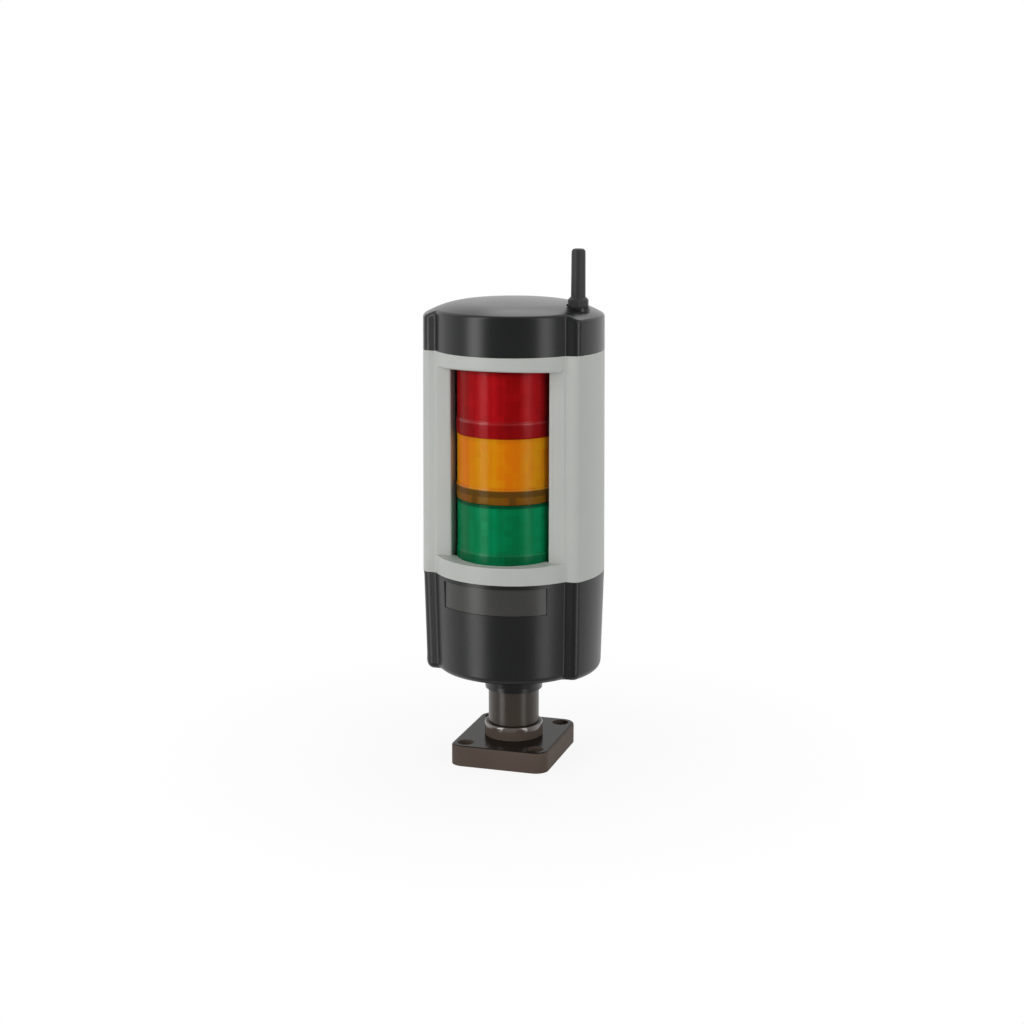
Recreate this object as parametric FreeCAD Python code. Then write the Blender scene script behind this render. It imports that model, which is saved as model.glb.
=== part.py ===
"""Signal beacon: three lens modules in a windowed housing, on a short pole with a square foot.

Millimetres, +Z up, the window faces -Y. The origin is on the pole's axis, at the underside of the foot.
"""
import FreeCAD, Part
import math
import os
from FreeCAD import Vector

# Foot
FOOT_WIDTH = 60.6
FOOT_DEPTH = 71.0
FOOT_THICKNESS = 12.6
FOOT_CORNER_ROUND = 8.0
FOOT_EDGE_ROUND = 1.5
FOOT_SCREWS_ACROSS = 44.0
FOOT_SCREWS_DEEP = 54.0
FOOT_SCREW_HOLE_RADIUS = 2.75
FOOT_COUNTERBORE_RADIUS = 5.0
FOOT_COUNTERBORE_DEPTH = 5.0
FOOT_FLOOR = 4.0
CABLE_HOLE_RADIUS = 11.0
SOCKET_WALL = 2.4
SOCKET_RISE = 8.5
SOCKET_LIP_ROUND = 1.6
SOCKET_FIT = 0.05
FOOT_GASKET_RADIUS = 17.0
FOOT_GASKET_WIDTH = 3.0
FOOT_GASKET_DEPTH = 1.5
SET_SCREW_RADIUS = 2.0
SET_SCREW_LENGTH = 9.0
SET_SCREW_HEX_RADIUS = 1.1
SET_SCREW_HEX_DEPTH = 2.5

# Pole
POLE_RADIUS = 15.4
POLE_WALL = 2.5
POLE_SHOWN = 29.8
POLE_IN_BASE = 12.0
POLE_RUNNING_FIT = 0.08
POLE_END_GAP = 0.1

# Clamp under the base
COLLAR_HEIGHT = 13.8
COLLAR_LIP_RADIUS = 17.4
COLLAR_FLARE_RADIUS = 21.0
COLLAR_LIP_HEIGHT = 2.6
COLLAR_LIP_GAP = 0.3
COLLAR_WALL = 0.9
COLLAR_RIM_HEIGHT = 2.4
SPIGOT_WALL = 1.8
SPIGOT_LENGTH = 7.6
SPIGOT_FIT = 0.05
GRIP_WALL = 1.2
GRIP_SPLIT = 1.5

# Plan of cap, housing and base
SHELL_RADIUS = 54.6
SHELL_DRAFT = 1.2
DRUM_STEP = 6.0
SHOULDER_DEPTH = 27.5
SHOULDER_SPARE = 0.2
DRUM_ROUND = 2.0
SHARPEST_ROUND = 0.3
WALL = 2.5
GASKET_INSET = 0.9
GASKET_WIDTH = 0.8
GASKET_DEPTH = 1.0

# Base
BASE_HEIGHT = 61.1
BASE_DRAFT = 1.75
BASE_FLOOR = 4.0
BASE_EDGE_ROUND = 4.4
NECK_WALL = 3.4
NECK_STOP = 4.0
LABEL_HALF_ANGLE = 41.0
LABEL_BELOW_TOP = 2.5
LABEL_HEIGHT = 16.0
LABEL_DEPTH = 1.2

# Window housing
HOUSING_HEIGHT = 133.0
PANEL_RECESS = 0.4
WINDOW_SIDE_GAP = 0.7
SILL_HEIGHT = 11.0
SILL_FALL = 0.7
HOOD_HEIGHT = 7.7
HOOD_RISE = 2.8
SHELF_THICKNESS = 3.0
WINDOW_EDGE_ROUND = 0.8

# Cap
CAP_HEIGHT = 29.3
CAP_CROWN_RADIUS = 300.0
CAP_KNUCKLE_RADIUS = 56.0
CAP_KNUCKLE_REACH = 24.2
CAP_ROOF = 2.6
CAP_EDGE_ROUND = 2.6

# Tie screws
TIE_SCREW_RADIUS = 2.0
TIE_HEAD_RADIUS = 3.5
TIE_HEAD_HEIGHT = 2.4
TIE_HEAD_RECESS = 3.0
TIE_KEY_RADIUS = 1.5
TIE_KEY_DEPTH = 1.2
TIE_HOLE_FIT = 0.2
TIE_BOSS_RADIUS = 4.0
TIE_THREAD = 15.0
TIE_FRONT_INSET = 18.0
TIE_FRONT_FORWARD = 17.0
TIE_BACK_INSET = 12.07

# Lens stack
LENS_AXIS_FORWARD = 12.0
LENS_BEHIND_DRUM = 6.1
LENS_WALL = 2.0
LENS_SKIRT = 8.6
LENS_LEDGE = 0.4
LENS_FACETS = 40
LENS_COLLAR_HEIGHT = 9.4
LENS_COLLAR_STEP = 0.5
LENS_COLLAR_ROUND = 0.4
LENS_LIP = 0.4
STACK_BELOW_SILL = 3.4
STACK_BELOW_HOOD = 1.15
LENS_PORT_FIT = 0.4
RING_FIT = 0.1
RING_DEPTH = 3.5
RING_WALL = 2.4
RING_LEGS = 8
RING_LEG_WIDTH = 4.0
WIRE_HOLE_RADIUS = 5.0
CORE_RADIUS = 9.0
CORE_TOP_GAP = 3.0
LED_SIZE = 3.4
LED_RISE = 0.9
LED_ROWS = 2
COVER_THICKNESS = 3.0
COVER_PLUG = 3.0
COVER_ROUND = 1.0

# Socket plate under the stack
PLATE_THICKNESS = 3.0
PLATE_EDGE_GAP = 0.6
PLATE_BACK = 40.0
PLATE_BOSS_GAP = 0.5
SOCKET_RING_WALL = 7.0
SOCKET_RING_STEP = 0.8
POST_RADIUS = 4.0
POST_FRONT = (25.0, -27.0)
POST_BACK = (0.0, 34.0)

# Boards and small screws
BOARD_THICKNESS = 1.6
BOARD_SIDE_GAP = 0.5
BOARD_BACK_GAP = 2.0
POWER_BOARD_BACK = 2.0
POWER_BOARD_POST = 20.0
POWER_POST_INSET = 5.0
TERMINAL_LENGTH = 32.0
TERMINAL_WIDTH = 11.0
TERMINAL_HEIGHT = 10.0
TERMINAL_WAYS = 4
TERMINAL_HOLE_RADIUS = 1.8
TERMINAL_HOLE_RISE = 3.3
TERMINAL_HOLE_DEPTH = 5.5
TERMINAL_SCREW_DEPTH = 3.0
RADIO_BOARD_LENGTH = 44.0
RADIO_BOARD_WIDTH = 24.0
RADIO_BOARD_BACK = 12.0
RADIO_BOSS_DROP = 6.0
RADIO_SHIELD_LENGTH = 18.0
RADIO_SHIELD_WIDTH = 16.0
RADIO_SHIELD_HEIGHT = 2.4
BOARD_SCREW_RADIUS = 1.5
BOARD_SCREW_HEAD_RADIUS = 2.7
BOARD_SCREW_HEAD_HEIGHT = 1.8
BOARD_SCREW_LENGTH = 5.0
BOARD_SCREW_FIT = 0.1

# Antenna
ANTENNA_INSET = 14.0
ANTENNA_FORWARD = 5.0
ANTENNA_PAD_RADIUS = 7.0
ANTENNA_PAD_RISE = 0.2
ANTENNA_PAD_WALL = 3.8
ANTENNA_COLLAR_RADIUS = 6.0
ANTENNA_COLLAR_HEIGHT = 5.0
ANTENNA_COLLAR_FLATS = 12
ANTENNA_COLLAR_CHAMFER = 1.4
ANTENNA_ROD_RADIUS = 4.25
ANTENNA_TIP_RADIUS = 4.05
ANTENNA_ROD_LENGTH = 28.0
CONNECTOR_RADIUS = 3.2
CONNECTOR_FLANGE_RADIUS = 5.0
CONNECTOR_FLANGE_HEIGHT = 2.4
CONNECTOR_TAIL = 4.0
CONNECTOR_RISE = 4.6
CONNECTOR_FIT = 0.1
ANTENNA_SEAL_THICKNESS = 0.8

# Levels and sizes that follow from the ones above
FOOT_TOP = FOOT_THICKNESS
SOCKET_TOP = FOOT_TOP + SOCKET_RISE
COLLAR_BOTTOM = FOOT_TOP + POLE_SHOWN
BASE_BOTTOM = COLLAR_BOTTOM + COLLAR_HEIGHT
BASE_TOP = BASE_BOTTOM + BASE_HEIGHT
BASE_FLOOR_TOP = BASE_BOTTOM + BASE_FLOOR
POLE_TOP = BASE_BOTTOM + POLE_IN_BASE
NECK_STOP_LEVEL = POLE_TOP + POLE_END_GAP
HOUSING_TOP = BASE_TOP + HOUSING_HEIGHT
SILL = BASE_TOP + SILL_HEIGHT
HOOD = HOUSING_TOP - HOOD_HEIGHT
CAP_TOP = HOUSING_TOP + CAP_HEIGHT
STACK_BOTTOM = SILL - STACK_BELOW_SILL
STACK_TOP = HOOD - STACK_BELOW_HOOD
MODULE_PITCH = (STACK_TOP - STACK_BOTTOM) / 3
PLATE_TOP = BASE_TOP - GASKET_DEPTH
PLATE_BOTTOM = PLATE_TOP - PLATE_THICKNESS
DRUM_RADIUS = SHELL_RADIUS - DRUM_STEP
SHOULDER_ROUND = BASE_EDGE_ROUND + SHOULDER_SPARE
LENS_RADIUS = DRUM_RADIUS - LENS_BEHIND_DRUM - LENS_AXIS_FORWARD
WINDOW_HALF_WIDTH = LENS_RADIUS + WINDOW_SIDE_GAP
LENS_INNER_RADIUS = LENS_RADIUS - LENS_WALL
RING_RADIUS = LENS_INNER_RADIUS - RING_FIT
POLE_BORE_RADIUS = POLE_RADIUS + POLE_RUNNING_FIT
SPIGOT_RADIUS = POLE_BORE_RADIUS + SPIGOT_WALL
PANEL_DEPTH = SHOULDER_DEPTH + PANEL_RECESS
TIE_FRONT = (SHELL_RADIUS - TIE_FRONT_INSET, -TIE_FRONT_FORWARD)
TIE_BACK = ((SHELL_RADIUS - TIE_BACK_INSET) / math.sqrt(2), (SHELL_RADIUS - TIE_BACK_INSET) / math.sqrt(2))
POWER_BOARD_LENGTH = 2 * (TIE_FRONT[0] - TIE_BOSS_RADIUS - BOARD_SIDE_GAP)
POWER_BOARD_WIDTH = 2 * (TIE_BACK[1] - TIE_BOSS_RADIUS - BOARD_BACK_GAP - POWER_BOARD_BACK)
ANTENNA_AT = (SHELL_RADIUS - ANTENNA_INSET, -ANTENNA_FORWARD)
SPAN = 2 * SHELL_RADIUS
SAME_PLACE = 0.001


def cylinder(radius, bottom, top, x=0.0, y=0.0):
    return Part.makeCylinder(radius, top - bottom, Vector(x, y, bottom))


def tube(inner, outer, bottom, top, x=0.0, y=0.0):
    return cylinder(outer, bottom, top, x, y).cut(cylinder(inner, bottom, top, x, y))


def block(x0, x1, y0, y1, z0, z1):
    return Part.makeBox(x1 - x0, y1 - y0, z1 - z0, Vector(x0, y0, z0))


def prism_of(sides, radius, bottom, top, x=0.0, y=0.0):
    """Upright regular prism whose flats lie `radius` from its axis."""
    reach = radius / math.cos(math.pi / sides)
    corners = []
    for k in range(sides + 1):
        angle = (2 * k + 1) * math.pi / sides
        corners.append(Vector(x + reach * math.cos(angle), y + reach * math.sin(angle), bottom))
    return Part.Face(Part.makePolygon(corners)).extrude(Vector(0, 0, top - bottom))


def revolve(points):
    """Solid of revolution about +Z from (radius, height) points."""
    ring = [Vector(r, 0, z) for r, z in points]
    return Part.Face(Part.makePolygon(ring + ring[:1])).revolve(Vector(0, 0, 0), Vector(0, 0, 1), 360)


def mirrored(point):
    """The left and right places of a point given on the right."""
    return [point, (-point[0], point[1])] if point[0] else [point]


def upright_edges(solid, height):
    """Edges that climb at least half of the given height."""
    chosen = []
    for edge in solid.Edges:
        if len(edge.Vertexes) == 2 and abs(edge.Vertexes[0].Z - edge.Vertexes[1].Z) > height / 2:
            chosen.append(edge)
    return chosen


def level_edges(solid, level):
    """Edges that lie flat at a level."""
    chosen = []
    for edge in solid.Edges:
        if max(abs(edge.BoundBox.ZMin - level), abs(edge.BoundBox.ZMax - level)) < SAME_PLACE:
            chosen.append(edge)
    return chosen


# Plan outline: a round shell, cut off at the shoulders, with a narrower drum standing forward between them.
def corner_arc(radius, shoulder, corner):
    """Tangent points and middle of the round where an arc meets the shoulder line, on the right.

    A positive corner lies inside the arc, a negative one fills the angle outside it.
    """
    depth = shoulder - corner
    reach = radius - corner
    centre = Vector(math.sqrt(reach ** 2 - depth ** 2), -depth, 0)
    outward = Vector(centre).normalize()
    on_line = Vector(centre.x, -shoulder, 0)
    on_arc = outward * radius
    to_line = (on_line - centre).normalize()
    to_arc = (on_arc - centre).normalize()
    middle = centre + (to_line + to_arc).normalize() * abs(corner)
    return on_line, middle, on_arc


def draft_at(level):
    """How far the draft has drawn the plan in at a level, down the base and up the housing and cap."""
    if level < BASE_TOP:
        return BASE_DRAFT * (BASE_TOP - level) / BASE_HEIGHT
    return SHELL_DRAFT * (level - BASE_TOP) / (CAP_TOP - BASE_TOP)


def outline(inset, level):
    """The plan at a level, a wall's thickness further in and drawn in by the draft."""
    draft = draft_at(level)
    shell = SHELL_RADIUS - inset - draft
    drum = DRUM_RADIUS - inset - draft
    shoulder = SHOULDER_DEPTH - inset - draft
    outer_round = max(SHOULDER_ROUND - inset, SHARPEST_ROUND)
    shell_line, shell_middle, shell_arc = corner_arc(shell, shoulder, outer_round)
    drum_line, drum_middle, drum_arc = corner_arc(drum, shoulder, -DRUM_ROUND - inset)

    def place(point, side):
        return Vector(side * point.x, point.y, level)

    edges = [Part.Arc(place(drum_arc, -1), Vector(0, -drum, level), place(drum_arc, 1)).toShape()]
    edges.append(Part.Arc(place(drum_arc, 1), place(drum_middle, 1), place(drum_line, 1)).toShape())
    edges.append(Part.LineSegment(place(drum_line, 1), place(shell_line, 1)).toShape())
    edges.append(Part.Arc(place(shell_line, 1), place(shell_middle, 1), place(shell_arc, 1)).toShape())
    edges.append(Part.Arc(place(shell_arc, 1), Vector(0, shell, level), place(shell_arc, -1)).toShape())
    edges.append(Part.Arc(place(shell_arc, -1), place(shell_middle, -1), place(shell_line, -1)).toShape())
    edges.append(Part.LineSegment(place(shell_line, -1), place(drum_line, -1)).toShape())
    edges.append(Part.Arc(place(drum_line, -1), place(drum_middle, -1), place(drum_arc, -1)).toShape())
    return Part.Wire(edges)


def shell_body(inset, bottom, top):
    """Tapered solid with the plan's outline, between two levels on one side of the base's top."""
    return Part.makeLoft([outline(inset, bottom), outline(inset, top)], True, True)


def gasket_ring(inset, bottom, top):
    return shell_body(inset, bottom, top).cut(shell_body(inset + GASKET_WIDTH, bottom, top))


def tie_places():
    return mirrored(TIE_FRONT) + mirrored(TIE_BACK)


def post_places():
    return mirrored(POST_FRONT) + mirrored(POST_BACK)


def power_post_places():
    half_length = POWER_BOARD_LENGTH / 2 - POWER_POST_INSET
    half_width = POWER_BOARD_WIDTH / 2 - POWER_POST_INSET
    return [(x, POWER_BOARD_BACK + y) for x in (-half_length, half_length) for y in (-half_width, half_width)]


def radio_boss_places():
    half_length = RADIO_BOARD_LENGTH / 2 - POWER_POST_INSET
    return [(x, RADIO_BOARD_BACK) for x in (-half_length, half_length)]


# Stand: foot, gasket, tube and set screw
def mounting_foot():
    half_width = FOOT_WIDTH / 2
    half_depth = FOOT_DEPTH / 2
    plate = block(-half_width, half_width, -half_depth, half_depth, 0, FOOT_TOP)
    plate = plate.makeFillet(FOOT_CORNER_ROUND, upright_edges(plate, FOOT_TOP))
    plate = plate.makeFillet(FOOT_EDGE_ROUND, level_edges(plate, FOOT_TOP))
    boss = cylinder(POLE_RADIUS + SOCKET_WALL, 0, SOCKET_TOP)
    boss = boss.makeFillet(SOCKET_LIP_ROUND, level_edges(boss, SOCKET_TOP))
    foot = plate.fuse(boss)
    foot = foot.cut(cylinder(POLE_RADIUS + SOCKET_FIT, FOOT_FLOOR, SOCKET_TOP))
    foot = foot.cut(cylinder(CABLE_HOLE_RADIUS, 0, SOCKET_TOP))
    for x in (-FOOT_SCREWS_ACROSS / 2, FOOT_SCREWS_ACROSS / 2):
        for y in (-FOOT_SCREWS_DEEP / 2, FOOT_SCREWS_DEEP / 2):
            foot = foot.cut(cylinder(FOOT_SCREW_HOLE_RADIUS, 0, FOOT_TOP, x, y))
            seat = FOOT_TOP - FOOT_COUNTERBORE_DEPTH
            foot = foot.cut(cylinder(FOOT_COUNTERBORE_RADIUS, seat, FOOT_TOP, x, y))
    foot = foot.cut(foot_gasket())
    hole = Part.makeCylinder(SET_SCREW_RADIUS, half_depth, Vector(0, 0, set_screw_level()), Vector(0, 1, 0))
    return foot.cut(hole).removeSplitter()


def set_screw_level():
    return (FOOT_FLOOR + FOOT_TOP) / 2


def foot_gasket():
    return tube(FOOT_GASKET_RADIUS, FOOT_GASKET_RADIUS + FOOT_GASKET_WIDTH, 0, FOOT_GASKET_DEPTH)


def foot_set_screw():
    start = Vector(0, POLE_RADIUS, set_screw_level())
    along = Vector(0, 1, 0)
    screw = Part.makeCylinder(SET_SCREW_RADIUS, SET_SCREW_LENGTH, start, along)
    key = prism_of(6, SET_SCREW_HEX_RADIUS, 0, SET_SCREW_HEX_DEPTH)
    key.rotate(Vector(0, 0, 0), Vector(1, 0, 0), -90)
    key.translate(start + along * (SET_SCREW_LENGTH - SET_SCREW_HEX_DEPTH))
    return screw.cut(key)


def pole_tube():
    return tube(POLE_RADIUS - POLE_WALL, POLE_RADIUS, FOOT_FLOOR, POLE_TOP)


# Clamp: a flared nut closes a split ring on the tube, against the spigot of the base
def spigot_bottom():
    return BASE_BOTTOM - SPIGOT_LENGTH


def grip_seat():
    return COLLAR_BOTTOM + COLLAR_LIP_HEIGHT


def neck_collar():
    lip = POLE_RADIUS + COLLAR_LIP_GAP
    grip = POLE_BORE_RADIUS + GRIP_WALL + SPIGOT_FIT
    spigot = SPIGOT_RADIUS + SPIGOT_FIT
    return revolve([
        (lip, COLLAR_BOTTOM), (COLLAR_LIP_RADIUS, COLLAR_BOTTOM),
        (grip + COLLAR_WALL, grip_seat()), (spigot + COLLAR_WALL, spigot_bottom()),
        (COLLAR_FLARE_RADIUS, BASE_BOTTOM - COLLAR_RIM_HEIGHT), (COLLAR_FLARE_RADIUS, BASE_BOTTOM),
        (spigot, BASE_BOTTOM), (spigot, spigot_bottom()), (grip, spigot_bottom()),
        (grip, grip_seat()), (lip, grip_seat()),
    ])


def grip_ring():
    ring = tube(POLE_BORE_RADIUS, POLE_BORE_RADIUS + GRIP_WALL, grip_seat(), spigot_bottom())
    reach = POLE_BORE_RADIUS + 2 * GRIP_WALL
    return ring.cut(block(-GRIP_SPLIT / 2, GRIP_SPLIT / 2, 0, reach, grip_seat(), spigot_bottom()))


# Base: tapered moulding with neck, posts and label recess
def label_seat():
    top = BASE_TOP - LABEL_BELOW_TOP
    seat = tube(DRUM_RADIUS - LABEL_DEPTH, SHELL_RADIUS, top - LABEL_HEIGHT, top)
    wedge = Part.makeCylinder(SPAN, LABEL_HEIGHT, Vector(0, 0, top - LABEL_HEIGHT), Vector(0, 0, 1),
                              2 * LABEL_HALF_ANGLE)
    wedge.rotate(Vector(0, 0, 0), Vector(0, 0, 1), -90 - LABEL_HALF_ANGLE)
    return seat.common(wedge)


def base_housing():
    outer = shell_body(0, BASE_BOTTOM, BASE_TOP)
    outer = outer.makeFillet(BASE_EDGE_ROUND, level_edges(outer, BASE_BOTTOM))
    base = outer.cut(shell_body(WALL, BASE_FLOOR_TOP, BASE_TOP))
    neck_top = NECK_STOP_LEVEL + NECK_STOP
    solids = [cylinder(POLE_BORE_RADIUS + NECK_WALL, BASE_BOTTOM, neck_top)]
    solids.append(cylinder(SPIGOT_RADIUS, spigot_bottom(), BASE_FLOOR_TOP))
    solids += [cylinder(TIE_BOSS_RADIUS, BASE_BOTTOM, BASE_TOP, x, y) for x, y in tie_places()]
    solids += [cylinder(POST_RADIUS, BASE_FLOOR_TOP, PLATE_BOTTOM, x, y) for x, y in post_places()]
    power_top = BASE_FLOOR_TOP + POWER_BOARD_POST
    solids += [cylinder(POST_RADIUS, BASE_FLOOR_TOP, power_top, x, y) for x, y in power_post_places()]
    base = base.multiFuse(solids)
    cuts = [cylinder(POLE_BORE_RADIUS, spigot_bottom(), NECK_STOP_LEVEL)]
    cuts.append(cylinder(CABLE_HOLE_RADIUS, BASE_BOTTOM, neck_top))
    for x, y in tie_places():
        seat = BASE_BOTTOM + TIE_HEAD_RECESS
        cuts.append(cylinder(TIE_SCREW_RADIUS + TIE_HOLE_FIT, BASE_BOTTOM, BASE_TOP, x, y))
        cuts.append(cylinder(TIE_HEAD_RADIUS + TIE_HOLE_FIT, BASE_BOTTOM, seat, x, y))
    cuts += [screw_hole(x, y, PLATE_BOTTOM) for x, y in post_places()]
    cuts += [screw_hole(x, y, power_top) for x, y in power_post_places()]
    cuts.append(label_seat())
    cuts.append(gasket_ring(GASKET_INSET, BASE_TOP - GASKET_DEPTH, BASE_TOP))
    return base.cut(Part.makeCompound(cuts)).removeSplitter()


def screw_hole(x, y, top):
    return cylinder(BOARD_SCREW_RADIUS, top - BOARD_SCREW_LENGTH, top, x, y)


def base_gasket():
    return gasket_ring(GASKET_INSET, BASE_TOP - GASKET_DEPTH, BASE_TOP)


# Window housing: the drum is cut back to a flat panel between sill and hood, and the panel has the window
def window_notch():
    reach = DRUM_RADIUS - PANEL_DEPTH
    corners = [
        Vector(-SPAN, -PANEL_DEPTH, SILL),
        Vector(-SPAN, -PANEL_DEPTH, HOOD),
        Vector(-SPAN, -PANEL_DEPTH - 2 * reach, HOOD + 2 * HOOD_RISE),
        Vector(-SPAN, -PANEL_DEPTH - 2 * reach, SILL - 2 * SILL_FALL),
    ]
    return Part.Face(Part.makePolygon(corners + corners[:1])).extrude(Vector(2 * SPAN, 0, 0))


def window_housing():
    outer = shell_body(0, BASE_TOP, HOUSING_TOP)
    cavity = shell_body(WALL, BASE_TOP, HOUSING_TOP)
    panel_back = -PANEL_DEPTH + WALL
    shelf_low = SILL - SHELF_THICKNESS
    shelf_high = HOOD + SHELF_THICKNESS
    cavity = cavity.cut(block(-SPAN, SPAN, -SPAN, panel_back, shelf_low, shelf_high))
    housing = outer.cut(cavity).cut(window_notch())
    window = block(-WINDOW_HALF_WIDTH, WINDOW_HALF_WIDTH, -SPAN, panel_back, SILL, HOOD)
    housing = housing.cut(window)
    port = LENS_RADIUS + LENS_PORT_FIT
    housing = housing.cut(cylinder(port, BASE_TOP, HOUSING_TOP, 0, -LENS_AXIS_FORWARD))
    housing = housing.makeFillet(WINDOW_EDGE_ROUND, window_edges(housing))
    return housing.cut(gasket_ring(GASKET_INSET, HOUSING_TOP - GASKET_DEPTH, HOUSING_TOP)).removeSplitter()


def window_edges(housing):
    """The two upright front edges of the window."""
    chosen = []
    for edge in upright_edges(housing, HOOD - SILL):
        centre = edge.CenterOfMass
        if abs(abs(centre.x) - WINDOW_HALF_WIDTH) < SAME_PLACE and abs(centre.y + PANEL_DEPTH) < SAME_PLACE:
            chosen.append(edge)
    return chosen


def cap_gasket():
    return gasket_ring(GASKET_INSET, HOUSING_TOP - GASKET_DEPTH, HOUSING_TOP)


# Cap: a crown with a rounded knuckle, bosses for screws and radio, and a flat pad for the antenna
def crown_edge():
    """Where the crown meets the knuckle: the radius, and the tilt of the surface there."""
    radius = SHELL_RADIUS - CAP_KNUCKLE_REACH
    return radius, math.asin(radius / CAP_CROWN_RADIUS)


def knuckle_centre():
    tilt = crown_edge()[1]
    reach = CAP_CROWN_RADIUS - CAP_KNUCKLE_RADIUS
    return reach * math.sin(tilt), CAP_TOP - CAP_CROWN_RADIUS + reach * math.cos(tilt)


def roof_height(x, y):
    radius = math.hypot(x, y)
    if radius < crown_edge()[0]:
        return CAP_TOP - CAP_CROWN_RADIUS + math.sqrt(CAP_CROWN_RADIUS ** 2 - radius ** 2)
    centre, level = knuckle_centre()
    return level + math.sqrt(CAP_KNUCKLE_RADIUS ** 2 - (radius - centre) ** 2)


def roof_body(inset):
    """Turned body under the roof, a wall's thickness further in; its seam lies left, clear of the antenna."""
    tilt = crown_edge()[1]
    centre, level = knuckle_centre()
    crown_level = CAP_TOP - CAP_CROWN_RADIUS

    def on_crown(angle):
        radius = CAP_CROWN_RADIUS - inset
        return Vector(-radius * math.sin(angle), 0, crown_level + radius * math.cos(angle))

    def on_knuckle(angle):
        radius = CAP_KNUCKLE_RADIUS - inset
        return Vector(-centre - radius * math.sin(angle), 0, level + radius * math.cos(angle))

    foot = Vector(on_knuckle(math.pi / 2).x, 0, HOUSING_TOP)
    axis = Vector(0, 0, HOUSING_TOP)
    edges = [Part.Arc(on_crown(0), on_crown(tilt / 2), on_crown(tilt)).toShape()]
    middle = on_knuckle((tilt + math.pi / 2) / 2)
    edges.append(Part.Arc(on_crown(tilt), middle, on_knuckle(math.pi / 2)).toShape())
    for first, second in ((on_knuckle(math.pi / 2), foot), (foot, axis), (axis, on_crown(0))):
        edges.append(Part.LineSegment(first, second).toShape())
    return Part.Face(Part.Wire(edges)).revolve(Vector(0, 0, 0), Vector(0, 0, 1), 360)


def antenna_seat():
    return roof_height(*ANTENNA_AT) + ANTENNA_PAD_RISE


def antenna_floor():
    return antenna_seat() - ANTENNA_PAD_WALL


def cap():
    outer = shell_body(0, HOUSING_TOP, CAP_TOP).common(roof_body(0))
    low = roof_height(SHELL_RADIUS, 0) - WALL
    high = roof_height(DRUM_RADIUS - WALL, 0)
    rim = [e for e in outer.Edges if e.BoundBox.ZMin > low and e.BoundBox.ZMax < high]
    outer = outer.makeFillet(CAP_EDGE_ROUND, rim)
    cover = outer.cut(shell_body(WALL, HOUSING_TOP, CAP_TOP).common(roof_body(CAP_ROOF)))
    posts = [cylinder(TIE_BOSS_RADIUS, HOUSING_TOP, CAP_TOP, x, y) for x, y in tie_places()]
    boss_bottom = antenna_floor() - RADIO_BOSS_DROP
    posts += [cylinder(POST_RADIUS, boss_bottom, CAP_TOP, x, y) for x, y in radio_boss_places()]
    solids = [post.common(roof_body(CAP_ROOF / 2)) for post in posts]
    solids.append(cylinder(ANTENNA_PAD_RADIUS, antenna_floor(), antenna_seat(), *ANTENNA_AT))
    cover = cover.multiFuse(solids)
    cuts = [cylinder(TIE_SCREW_RADIUS, HOUSING_TOP, tie_top(), x, y) for x, y in tie_places()]
    hole_top = boss_bottom + BOARD_SCREW_LENGTH
    cuts += [cylinder(BOARD_SCREW_RADIUS, boss_bottom, hole_top, x, y) for x, y in radio_boss_places()]
    cuts.append(cylinder(CONNECTOR_RADIUS + CONNECTOR_FIT, antenna_floor(), antenna_seat(), *ANTENNA_AT))
    cuts.append(cylinder(ANTENNA_PAD_RADIUS, antenna_seat(), CAP_TOP, *ANTENNA_AT))
    cuts.append(cylinder(ANTENNA_PAD_RADIUS, boss_bottom, antenna_floor(), *ANTENNA_AT))
    return cover.cut(Part.makeCompound(cuts)).removeSplitter()


def tie_top():
    return HOUSING_TOP + TIE_THREAD


def tie_screws():
    head_bottom = BASE_BOTTOM + TIE_HEAD_RECESS - TIE_HEAD_HEIGHT
    screws = []
    for x, y in tie_places():
        head = cylinder(TIE_HEAD_RADIUS, head_bottom, BASE_BOTTOM + TIE_HEAD_RECESS, x, y)
        key = prism_of(6, TIE_KEY_RADIUS, head_bottom, head_bottom + TIE_KEY_DEPTH, x, y)
        shank = cylinder(TIE_SCREW_RADIUS, BASE_BOTTOM + TIE_HEAD_RECESS, tie_top(), x, y)
        screws.append(head.cut(key).fuse(shank).removeSplitter())
    return Part.makeCompound(screws)


# Lens stack
def stack_base():
    plate = shell_body(WALL + PLATE_EDGE_GAP, PLATE_BOTTOM, PLATE_TOP)
    plate = plate.cut(block(-SPAN, SPAN, PLATE_BACK, SPAN, PLATE_BOTTOM, PLATE_TOP))
    ring = cylinder(LENS_RADIUS - SOCKET_RING_STEP, PLATE_BOTTOM, STACK_BOTTOM, 0, -LENS_AXIS_FORWARD)
    socket = plate.fuse(ring)
    core = LENS_RADIUS - SOCKET_RING_WALL
    cuts = [cylinder(core, PLATE_TOP, STACK_BOTTOM, 0, -LENS_AXIS_FORWARD)]
    cuts.append(cylinder(WIRE_HOLE_RADIUS, PLATE_BOTTOM, PLATE_TOP, 0, -LENS_AXIS_FORWARD))
    for x, y in tie_places():
        cuts.append(cylinder(TIE_BOSS_RADIUS + PLATE_BOSS_GAP, PLATE_BOTTOM, PLATE_TOP, x, y))
    head = BOARD_SCREW_HEAD_RADIUS + PLATE_BOSS_GAP
    for x, y in post_places():
        cuts.append(cylinder(BOARD_SCREW_RADIUS + BOARD_SCREW_FIT, PLATE_BOTTOM, PLATE_TOP, x, y))
        cuts.append(cylinder(head, PLATE_TOP, STACK_BOTTOM, x, y))
    return socket.cut(Part.makeCompound(cuts)).removeSplitter()


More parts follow.
